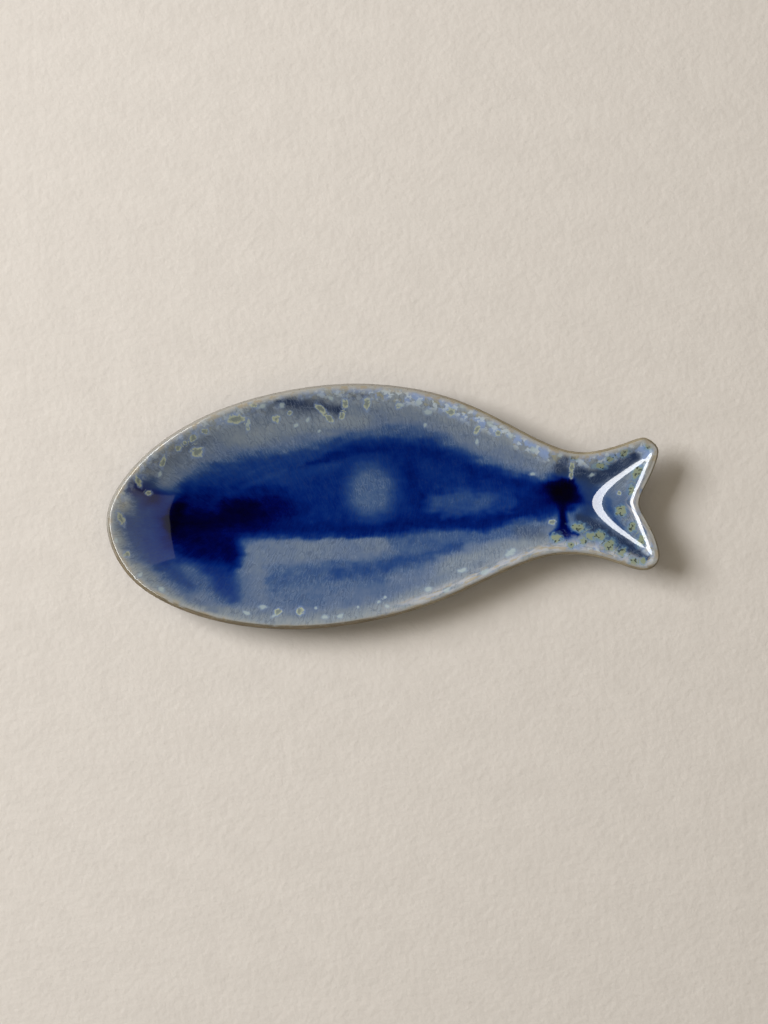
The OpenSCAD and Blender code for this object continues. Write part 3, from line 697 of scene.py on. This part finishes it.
def paint_inside(obj, dish):
    """Stores on the mesh what the glaze's material draws, and where."""
    mesh = obj.data
    co = np.empty(len(mesh.vertices) * 3)
    mesh.vertices.foreach_get("co", co)
    co = co.reshape(-1, 3)
    px = photo_pixels(co)
    edge_mm, way = from_edge(co, dish)
    x, y = co[:, 0] / MM, co[:, 1] / MM
    above = smooth(*BACK_SIDE, y)
    blue = blue_fields(px, edge_mm / PIXEL, above, way)
    set_values(mesh, "FLOAT", **blue, **lace_fields(px, x, edge_mm, above, blue["slate"]),
               **lip_fields(px, x, edge_mm, above))
    set_values(mesh, "FLOAT_VECTOR", ringed=nearest_spots(px, RINGED), spotted=nearest_spots(px, SPOTTED),
               pale=nearest_spots(px, PALE))


# Materials

def srgb(r, g, b):
    def linear(c):
        c /= 255
        return c / 12.92 if c <= 0.04045 else ((c + 0.055) / 1.055) ** 2.4
    return (linear(r), linear(g), linear(b), 1.0)


def tones(stops, span=1.0):
    """Stops of a colour ramp, from places up to the span and sRGB colours."""
    return [(at / span, srgb(*color)) for at, color in stops]


class Finish:
    """A node material in the making, round one Principled shader."""

    def __init__(self, name, **sockets):
        self.material = bpy.data.materials.new(name)
        self.material.use_nodes = True
        self.tree = self.material.node_tree
        self.shader = self.tree.nodes["Principled BSDF"]
        self.set(self.shader, sockets)
        self.place = self.node("ShaderNodeTexCoord").outputs["Object"]

    def node(self, kind, inputs=None, **settings):
        made = self.tree.nodes.new(kind)
        for key, value in settings.items():
            setattr(made, key, value)
        self.set(made, inputs or {})
        return made

    def set(self, node, inputs):
        for key, value in inputs.items():
            if isinstance(value, bpy.types.NodeSocket):
                self.tree.links.new(value, node.inputs[key])
            else:
                node.inputs[key].default_value = value

    def value(self, name):
        return self.node("ShaderNodeAttribute", attribute_name=name).outputs["Fac"]

    def vector(self, name):
        return self.node("ShaderNodeAttribute", attribute_name=name).outputs["Vector"]

    def vector_math(self, operation, a, b):
        return self.node("ShaderNodeVectorMath", {0: a, 1: b}, operation=operation).outputs["Vector"]

    def math(self, operation, a, b=0.5, c=0.0, clamp=False):
        made = self.node("ShaderNodeMath", {0: a, 1: b, 2: c}, operation=operation, use_clamp=clamp)
        return made.outputs["Value"]

    def product(self, first, *others):
        for other in others:
            first = self.math("MULTIPLY", first, other)
        return first

    def noise(self, scale, detail=3.0, roughness=0.55, place=None, output="Fac"):
        inputs = {"Vector": place or self.place, "Scale": scale, "Detail": detail, "Roughness": roughness}
        return self.node("ShaderNodeTexNoise", inputs).outputs[output]

    def stretched(self, sizes):
        inputs = {"Vector": self.place, "Scale": sizes}
        return self.node("ShaderNodeMapping", inputs, vector_type="TEXTURE").outputs["Vector"]

    def ramp(self, value, stops):
        ramp = self.node("ShaderNodeValToRGB", {"Fac": value})
        while len(ramp.color_ramp.elements) < len(stops):
            ramp.color_ramp.elements.new(0.5)
        for element, (at, color) in zip(ramp.color_ramp.elements, stops):
            element.position, element.color = at, color
        return ramp.outputs["Color"]

    def band(self, value, low, high):
        return self.node("ShaderNodeMapRange", {"Value": value, "From Min": low, "From Max": high},
                         interpolation_type="SMOOTHSTEP").outputs["Result"]

    def blend(self, share, a, b):
        return self.node("ShaderNodeMix", {0: share, 6: a, 7: b}, data_type="RGBA").outputs[2]

    def bump(self, height, strength, distance):
        made = self.node("ShaderNodeBump", {"Height": height, "Strength": strength, "Distance": distance})
        self.set(self.shader, {"Normal": made.outputs["Normal"]})


# Colours of the reactive glaze by its depth
DEEPEST = 1.15
BLUES = [(0.0, (163, 163, 156)), (0.13, (139, 147, 152)), (0.26, (113, 125, 140)), (0.36, (96, 112, 139)),
         (0.46, (72, 95, 132)), (0.57, (42, 71, 123)), (0.68, (17, 50, 117)), (0.80, (1, 30, 104)),
         (0.90, (0, 8, 76)), (0.98, (1, 2, 48)), (1.08, (2, 1, 20)), (1.15, (4, 2, 8))]
# Unevenness of the blue: scale, detail, roughness and amount of each noise
BLUE_NOISES = [(70, 5, 0.6, 0.13), (210, 3, 0.6, 0.14), (900, 2, 0.5, 0.05)]
# Hairs that run down the wall: lumps a millimetre along the edge, down the wall and across the dish
HAIR, THREAD = (0.9, 0.12, 0.1), (2.6, 0.4, 0.15)
HAIR_AMOUNT, HAIR_ON_EDGES = 0.07, 0.5
# Slate: its colour, its unevenness, and the depth of the blue from none to full
SLATE, SLATE_MOTTLE, SLATE_DEPTHS = (40, 54, 82), 0.8, (1.0, 0.5)
# Crackle: cells a millimetre along the edge and down the wall, their sway, the lines' width in cells, and the
# patches that have it. Each kind of line: scale of the cells, depth of the blue from none to full, amount
# and colour
CRACKLE_CELLS, CRACKLE_SWAY, CRACKLE_WIDTH = (0.4, 0.11, 0), (1.5, 1.2, 0), 0.13
CRACKLE_PATCHES = (0.3, 0.55)
CRACKLES = [(1.0, (0.9, 0.6), 0.34, (44, 60, 92)), (1.43, (0.62, 0.42), 0.2, (150, 166, 188))]
# Lace and smears on the lips: zone, scale of the noise, its band from none to full, amount and colour. The
# noise of the smears has lumps a millimetre along the edge, down the wall and across the dish
SMEAR_LUMPS = (0.09, 0.42, 0.05)
LACES = [
    ("blue_lace", 240, (0.55, 0.62), 0.6, (156, 150, 114)),
    ("blue_lace", 170, (0.47, 0.57), 0.75, (136, 160, 206)),
    ("blue_lace", 290, (0.52, 0.60), 0.85, (186, 198, 206)),
    ("white_lace", 1, (0.38, 0.58), 0.75, (188, 186, 187)),
    ("white_lace", 2.2, (0.54, 0.64), 0.5, (134, 152, 184)),
    ("white_lace", 1.6, (0.53, 0.62), 0.6, (168, 152, 116)),
]
# Glaze on the lip itself: zone, scale of the noise, its band from none to full, and colour
LIP_COATS = [("thin", 200, (0.2, 0.55), (163, 160, 153)), ("thin", 190, (0.5, 0.64), (158, 146, 124)),
             # the brown coat is partly painted shade on the belly's lip, which faces away from the lamp
             ("lip_break_and_shade", 150, (0.25, 0.5), (108, 97, 74))]
# Crystals: kind, unevenness, and bands from the outside in: edges in half widths, edges of a hollow, amount
# and colour. Noise breaks the hollow bands, and puts dots on the spotted kind
CRYSTALS = [
    ("ringed", 1.4, [((1.7, 1.0), None, 0.45, (128, 152, 196)), ((1.0, 0.6), None, 0.7, (122, 128, 104)),
                     ((1.2, 0.9), (0.3, 0.8), 0.75, (178, 184, 154))]),
    ("spotted", 1.5, [((1.6, 1.0), None, 0.3, (94, 134, 180)), ((1.1, 0.95), None, 0.5, (124, 152, 156)),
                      ((0.85, 0.6), None, 0.78, (144, 150, 114))]),
    ("pale", 1.2, [((1.4, 0.8), None, 0.3, (138, 158, 184)), ((0.95, 0.45), None, 0.6, (174, 188, 186))]),
]
BREAK_SCALE, BREAK_BAND = 700, (0.36, 0.5)
DOT_SCALE, DOT_BAND, DOT_EDGES = 560, (0.56, 0.64), (1.1, 0.8)
DOT, DOT_AMOUNT = (34, 44, 52), 0.8
# Gloss: refraction, roughness of the glaze, and how much rougher its dull edge is
GLAZE_IOR, GLAZE_ROUGHNESS, DULL_ROUGHNESS = 1.7, 0.05, 0.25


def centred(f, texture, amount):
    return f.product(f.math("SUBTRACT", texture), amount)


def uneven_depth(f, grain):
    """Depth of the blue with its noise, its hairs and the ragged edges of the flows."""
    hair, thread = (f.noise(1, 2, 0.6, f.vector_math("MULTIPLY", grain, lumps)) for lumps in (HAIR, THREAD))
    depth = f.value("depth")
    for scale, detail, roughness, amount in BLUE_NOISES:
        depth = f.math("ADD", depth, centred(f, f.noise(scale, detail, roughness), amount))
    for texture in (hair, thread):
        depth = f.math("ADD", depth, centred(f, texture, HAIR_AMOUNT))
    return f.math("ADD", depth, f.product(f.value("drop"), centred(f, hair, HAIR_ON_EDGES)))


def reactive_glaze():
    f = Finish("reactive glaze", IOR=GLAZE_IOR)
    grain = f.vector("grain")
    depth = uneven_depth(f, grain)
    color = f.ramp(f.math("DIVIDE", depth, DEEPEST, clamp=True), tones(BLUES, DEEPEST))
    slate = f.value("slate")
    mottled = f.math("ADD", slate, f.product(slate, centred(f, f.noise(150), SLATE_MOTTLE)), clamp=True)
    color = f.blend(f.product(mottled, f.band(depth, *SLATE_DEPTHS)), color, srgb(*SLATE))
    color = crackle(f, grain, depth, color)
    color = rim_lace(f, grain, color)
    color = crystals(f, color)
    color = lip_glaze(f, color)
    roughness = f.math("MULTIPLY_ADD", f.value("dull"), DULL_ROUGHNESS, GLAZE_ROUGHNESS)
    f.set(f.shader, {"Base Color": color, "Roughness": roughness})
    f.bump(f.noise(140, 2), 0.01, 0.001)
    return f.material


def crackle(f, grain, depth, color):
    """Fine dark and pale lines of the crazed glaze, longer down the wall, lost where the blue is deep."""
    sway = f.vector_math("MULTIPLY", f.noise(300, 2, 0.5, output="Color"), CRACKLE_SWAY)
    place = f.vector_math("ADD", f.vector_math("MULTIPLY", grain, CRACKLE_CELLS), sway)
    patches = f.band(f.noise(120, 2), *CRACKLE_PATCHES)
    for scale, depths, amount, tint in CRACKLES:
        lines = f.node("ShaderNodeTexVoronoi", {"Vector": place, "Scale": scale}, voronoi_dimensions="2D",
                       feature="DISTANCE_TO_EDGE").outputs["Distance"]
        drawn = f.product(f.band(lines, CRACKLE_WIDTH, 0.0), patches, f.band(depth, *depths), amount)
        color = f.blend(drawn, color, srgb(*tint))
    return color


def rim_lace(f, grain, color):
    """Pale blue and olive patches along the back's lip, white and ochre smears along the belly's."""
    places = {"blue_lace": None, "white_lace": f.vector_math("MULTIPLY", grain, SMEAR_LUMPS)}
    for zone, scale, edges, amount, tint in LACES:
        spots = f.band(f.noise(scale, 3, 0.55, places[zone]), *edges)
        color = f.blend(f.product(spots, f.value(zone), amount), color, srgb(*tint))
    return color


def lip_glaze(f, color):
    """Thin pale glaze over the lip, and brown on the belly's side: partly where the glaze breaks, partly
    painted shade on the lip that faces away from the lamp.
    """
    for zone, scale, edges, tint in LIP_COATS:
        color = f.blend(f.product(f.value(zone), f.band(f.noise(scale), *edges)), color, srgb(*tint))
    return color


def spot_distance(f, name, uneven):
    """Distance from the nearest crystal's middle in half widths, made uneven, and whether one is near."""
    place = f.vector(name)
    bent = f.vector_math("SUBTRACT", f.noise(420, 1, 0.5, output="Color"), (0.5, 0.5, 0.5))
    shift = f.vector_math("MULTIPLY", bent, (uneven, uneven, 0))
    moved = f.vector_math("ADD", f.vector_math("MULTIPLY", place, (1, 1, 0)), shift)
    near = f.node("ShaderNodeSeparateXYZ", {0: place}).outputs["Z"]
    return f.node("ShaderNodeVectorMath", {0: moved}, operation="LENGTH").outputs["Value"], near


def crystals(f, color):
    for name, uneven, bands in CRYSTALS:
        far, near = spot_distance(f, name, uneven)
        for edges, hollow, amount, tint in bands:
            spot = f.product(f.band(far, *edges), near)
            if hollow:
                gaps = f.band(f.noise(BREAK_SCALE, 1), *BREAK_BAND)
                spot = f.product(spot, f.band(far, *hollow), gaps)
            color = f.blend(f.product(spot, amount), color, srgb(*tint))
        if name == "spotted":
            dots = f.band(f.noise(DOT_SCALE, 1), *DOT_BAND)
            drawn = f.product(f.band(far, *DOT_EDGES), near, dots, DOT_AMOUNT)
            color = f.blend(drawn, color, srgb(*DOT))
    return color


# Thin glazes and bare clay: colours from the darkest mottle to the palest
OUTER_TONES = [(0.35, (70, 84, 108)), (0.5, (104, 118, 132)), (0.65, (142, 146, 138))]
BASE_TONES = [(0.35, (88, 100, 118)), (0.5, (116, 126, 136)), (0.65, (146, 148, 140))]
BROWN_TONES = [(0.3, (100, 88, 66)), (0.55, (122, 109, 86)), (0.75, (144, 130, 106))]
TAN_TONES = [(0.3, (126, 115, 92)), (0.55, (145, 134, 110)), (0.75, (162, 152, 128))]
# the ashen tone is partly painted light, for the back's lip by the nose, which faces the lamp
ASHEN_AND_LIT, GROG = (152, 147, 138), (92, 80, 62)
# Runs of the thin glazes: size of their lumps in metres, and the shares of mottle and runs in the colour
RUN_SIZES = (0.012, 0.012, 0.05)
MOTTLE_SHARE, RUN_SHARE = 0.6, 0.4
# Zones of the bare clay in metres, from none to full
CLAY_BACK, CLAY_LIP = (-0.03, 0.0), (0.015, 0.022)
CLAY_NOSE, CLAY_TAIL = (0.06, 0.01), (-0.01, 0.03)
GROG_BAND = (0.62, 0.7)


def thin_glaze(name, stops):
    f = Finish(name, Roughness=0.12)
    mottle = f.product(f.noise(190, 5, 0.65), MOTTLE_SHARE)
    runs = f.product(f.noise(1, 3, 0.5, f.stretched(RUN_SIZES)), RUN_SHARE)
    f.set(f.shader, {"Base Color": f.ramp(f.math("ADD", mottle, runs), tones(stops))})
    f.bump(f.noise(140, 2), 0.02, 0.001)
    return f.material


def bare_clay():
    """Bare stoneware: brown by the nose, tan by the tail, and ashen on the nose's side of the back's lip,
    which faces the lamp: partly the clay's own tone, partly painted light.
    """
    f = Finish("bare stoneware", Roughness=0.75)
    mottle = f.noise(120, 5, 0.6)
    brown, tan = f.ramp(mottle, tones(BROWN_TONES)), f.ramp(mottle, tones(TAN_TONES))
    place = f.node("ShaderNodeSeparateXYZ", {0: f.place}).outputs
    tailward = f.band(place["X"], *CLAY_TAIL)
    on_back, on_lip = f.band(place["Y"], *CLAY_BACK), f.band(place["Z"], *CLAY_LIP)
    by_nose = f.band(place["X"], *CLAY_NOSE)
    # paler on the back's lip by the nose, which faces the lamp: partly painted light
    tone = f.blend(f.product(on_back, on_lip, by_nose), f.blend(tailward, brown, tan), srgb(*ASHEN_AND_LIT))
    grog = f.band(f.noise(1400, 2), *GROG_BAND)
    f.set(f.shader, {"Base Color": f.blend(grog, tone, srgb(*GROG))})
    f.bump(f.noise(1600, 3), 0.15, 0.0004)
    return f.material


def wear(obj, material):
    obj.data.materials.append(material)


# Stage: floor, light and camera

FLOOR_HALF = 6.0
FLOOR_TONES = [(0.3, (210, 202, 193)), (0.7, (215, 207, 198))]


def floor():
    mesh = bpy.data.meshes.new("floor")
    corners = [(x * FLOOR_HALF, y * FLOOR_HALF, 0) for x, y in ((-1, -1), (1, -1), (1, 1), (-1, 1))]
    mesh.from_pydata(corners, [], [(0, 1, 2, 3)])
    obj = bpy.data.objects.new("floor", mesh)
    bpy.context.scene.collection.objects.link(obj)
    f = Finish("plaster", Roughness=0.9)
    f.set(f.shader, {"Base Color": f.ramp(f.noise(60, 4), tones(FLOOR_TONES))})
    f.bump(f.noise(240, 4, 0.5), 0.28, 0.002)
    wear(obj, f.material)


def area_light(name, azimuth, elevation, distance, wide, tall, power, color=(1, 1, 1), diffuse=True,
               glossy=True, shift=0.0):
    """A lamp that faces the platter, in degrees round and above it; the shift moves it sideways."""
    data = bpy.data.lights.new(name, "AREA")
    data.shape, data.size, data.size_y, data.energy, data.color = "RECTANGLE", wide, tall, power, color
    obj = bpy.data.objects.new(name, data)
    a, e = math.radians(azimuth), math.radians(elevation)
    way = Vector((math.cos(a) * math.cos(e), math.sin(a) * math.cos(e), math.sin(e)))
    obj.location = way * distance + Vector((-math.sin(a), math.cos(a), 0)) * shift
    obj.rotation_euler = way.to_track_quat("Z", "Y").to_euler()
    obj.visible_diffuse, obj.visible_glossy = diffuse, glossy
    bpy.context.scene.collection.objects.link(obj)


# Colours of the room at the horizon and high up, by the upward part of the direction
ROOM = [(0.0, (0.42, 0.39, 0.34, 1)), (0.75, (0.006, 0.006, 0.006, 1))]


def surroundings():
    world = bpy.data.worlds.new("surroundings")
    bpy.context.scene.world = world
    world.use_nodes = True
    tree = world.node_tree
    place = tree.nodes.new("ShaderNodeTexCoord")
    split = tree.nodes.new("ShaderNodeSeparateXYZ")
    ramp = tree.nodes.new("ShaderNodeValToRGB")
    for element, (height, color) in zip(ramp.color_ramp.elements, ROOM):
        element.position, element.color = height, color
    tree.links.new(place.outputs["Generated"], split.inputs[0])
    tree.links.new(split.outputs["Z"], ramp.inputs[0])
    tree.links.new(ramp.outputs[0], tree.nodes["Background"].inputs["Color"])


def camera():
    data = bpy.data.cameras.new("overhead")
    data.lens = SENSOR * CAMERA_ABOVE_LIP / (PHOTO_SIZE[1] * PIXEL)
    data.sensor_width = SENSOR
    obj = bpy.data.objects.new("overhead", data)
    obj.location = Vector((*PLATTER_AT, CAMERA_ABOVE_LIP + RIM_H)) * MM
    obj.rotation_euler = (0, 0, -PHOTO_ROLL)
    bpy.context.scene.collection.objects.link(obj)
    bpy.context.scene.camera = obj


dish = Dish()
glaze = inside_glaze(dish)
paint_inside(glaze, dish)
wear(glaze, reactive_glaze())
wear(outside_glaze(dish), thin_glaze("outer glaze", OUTER_TONES))
wear(base_glaze(dish), thin_glaze("base glaze", BASE_TONES))
wear(stoneware(dish), bare_clay())
floor()
area_light("key softbox", azimuth=156, elevation=47, distance=2.6, wide=1.2, tall=1.2, power=69,
           color=(0.98, 1, 1.03), glossy=False)
area_light("overhead panel", azimuth=0, elevation=90, distance=2.5, wide=3, tall=3, power=19,
           color=(1, 0.91, 0.74), glossy=False)
area_light("mirrored strip", azimuth=175.7, elevation=54, distance=1.6, wide=2.47, tall=0.525, power=39,
           diffuse=False)
area_light("mirrored card", azimuth=-2, elevation=43.5, distance=1.4, wide=2.43, tall=1.19, power=3.3,
           diffuse=False, shift=0.135)
surroundings()
camera()
bpy.context.scene.view_settings.view_transform = "Standard"
